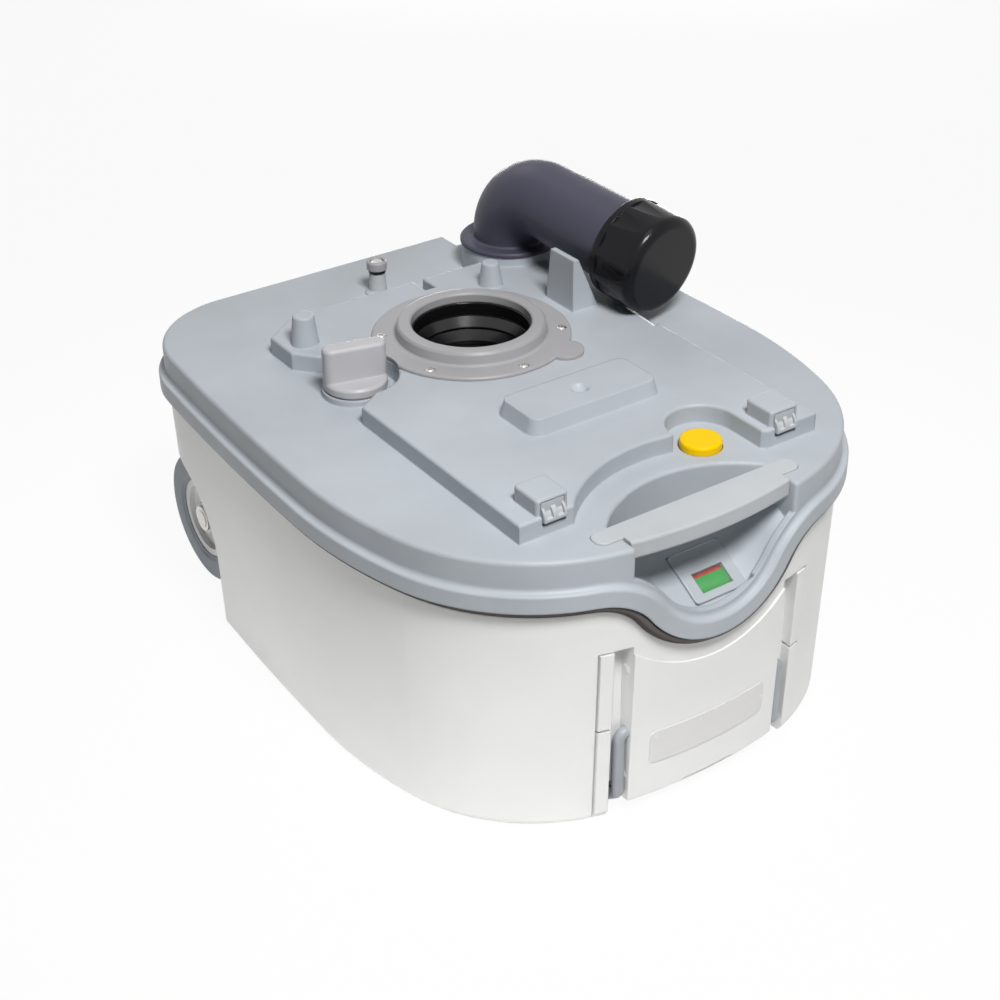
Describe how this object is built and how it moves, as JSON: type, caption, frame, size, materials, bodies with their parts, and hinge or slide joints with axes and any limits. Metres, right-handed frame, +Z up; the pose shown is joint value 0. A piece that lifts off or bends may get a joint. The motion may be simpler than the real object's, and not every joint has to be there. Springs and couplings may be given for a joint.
{
  "type": "cassette toilet waste tank",
  "caption": "Wheeled plastic waste tank of a cassette toilet with a swivelling emptying spout, a closing blade in the inlet, a vent button, a carrying grip and a tow handle.",
  "frame": {"origin": "middle of the plan on the floor under the tank", "axes": "+X to the right, -Y towards the carrying grip, +Z up"},
  "size_m": [0.3456, 0.4233, 0.27],
  "materials": {
    "lid_grey": "satin",
    "tub_white": "satin",
    "grip_grey": "satin",
    "ring_grey": "satin",
    "seal_black": "gloss",
    "spout_slate": "satin",
    "seam_dark": "matt",
    "blade_black": "satin",
    "cap_black": "gloss",
    "button_yellow": "satin",
    "inner_white": "satin",
    "drum_green": "satin",
    "lens_clear": "gloss",
    "label_silver": "satin",
    "handle_grey": "satin",
    "tyre_grey": "matt",
    "hub_white": "satin",
    "steel": "satin"
  },
  "bodies": {
    "tank": {"lower_shell": "tub_white", "upper_shell": "lid_grey", "mouth_ring": "ring_grey", "ring_screws": "steel", "lip_seal": "seal_black", "seam_seal": "seam_dark", "vent_post": "grip_grey", "vent_ring": "seal_black", "vent_cap": "ring_grey", "grip": "grip_grey", "gauge_panel": "grip_grey", "gauge_window": "lens_clear", "gauge_axle": "steel", "label_plate": "label_silver", "wheel_axles": "steel", "axle_clips": "steel", "button_spring": "steel", "plunger_spring": "steel", "left_catch_spring": "steel", "right_catch_spring": "steel"},
    "valve": {"valve_knob": "ring_grey", "valve_shaft": "inner_white", "valve_blade": "blade_black", "shaft_screw": "steel"},
    "air_button": {"vent_button": "button_yellow", "button_stem": "inner_white", "button_seal": "seal_black"},
    "vent_pin": {"vent_plunger": "steel"},
    "spout_arm": {"spout": "spout_slate", "spout_seal": "seal_black", "spout_retainer": "spout_slate"},
    "cap_liner": {"cap_seal": "seal_black"},
    "cap": {"spout_cap": "cap_black"},
    "gauge": {"gauge_drum": "drum_green", "float_arm": "inner_white", "gauge_float": "inner_white"},
    "left_snap": {"left_catch": "grip_grey"},
    "right_snap": {"right_catch": "grip_grey"},
    "handle": {"tow_handle": "handle_grey"},
    "left_wheel": {"left_tyre": "tyre_grey", "left_hub": "hub_white"},
    "right_wheel": {"right_tyre": "tyre_grey", "right_hub": "hub_white"}
  },
  "joints": [
    {"name": "valve_turn", "type": "hinge", "parent": "tank", "child": "valve", "pos_m": [-0.088, 0.04, 0.19], "axis": [0, 0, -1], "range_deg": [0, 90]},
    {"name": "button_press", "type": "slide", "parent": "tank", "child": "air_button", "axis": [0, 0, -1], "range_m": [0, 0.005], "stiffness_N_per_m": 500, "springref_m": -0.003, "deforming": ["button_spring"]},
    {"name": "vent_press", "type": "slide", "parent": "tank", "child": "vent_pin", "axis": [0, 0, -1], "range_m": [0, 0.003], "stiffness_N_per_m": 500, "springref_m": -0.003, "deforming": ["plunger_spring"]},
    {"name": "spout_swivel", "type": "hinge", "parent": "tank", "child": "spout_arm", "pos_m": [0.0987, 0.1413, 0.2], "axis": [0, 0, 1], "range_deg": [0, 175]},
    {"name": "cap_lift", "type": "slide", "parent": "spout_arm", "child": "cap_liner", "axis": [0.1481, -0.9791, -0.1392], "range_m": [0, 0.01201]},
    {"name": "cap_turn", "type": "hinge", "parent": "cap_liner", "child": "cap", "pos_m": [0.11789, 0.01443, 0.23144], "axis": [0.1481, -0.9791, -0.1392], "range_deg": [0, 720]},
    {"name": "gauge_swing", "type": "hinge", "parent": "tank", "child": "gauge", "pos_m": [0.008, -0.1822, 0.12679], "axis": [1, 0, 0], "range_deg": [0, 40]},
    {"name": "left_catch_press", "type": "slide", "parent": "tank", "child": "left_snap", "axis": [0, 1, 0], "range_m": [0, 0.003], "stiffness_N_per_m": 500, "springref_m": -0.002, "deforming": ["left_catch_spring"]},
    {"name": "right_catch_press", "type": "slide", "parent": "tank", "child": "right_snap", "axis": [0, 1, 0], "range_m": [0, 0.003], "stiffness_N_per_m": 500, "springref_m": -0.002, "deforming": ["right_catch_spring"]},
    {"name": "handle_swing", "type": "hinge", "parent": "tank", "child": "handle", "pos_m": [0, -0.1925, 0.058], "axis": [-1, 0, 0], "range_deg": [0, 165]},
    {"name": "left_wheel_spin", "type": "hinge", "parent": "tank", "child": "left_wheel", "pos_m": [-0.133, 0.168, 0.049], "axis": [1, 0, 0], "continuous": true},
    {"name": "right_wheel_spin", "type": "hinge", "parent": "tank", "child": "right_wheel", "pos_m": [0.133, 0.168, 0.049], "axis": [1, 0, 0], "continuous": true}
  ],
  "couplings": [
    {"joint": "cap_lift", "follows": "cap_turn", "m_per_rad": 0.00095493}
  ]
}
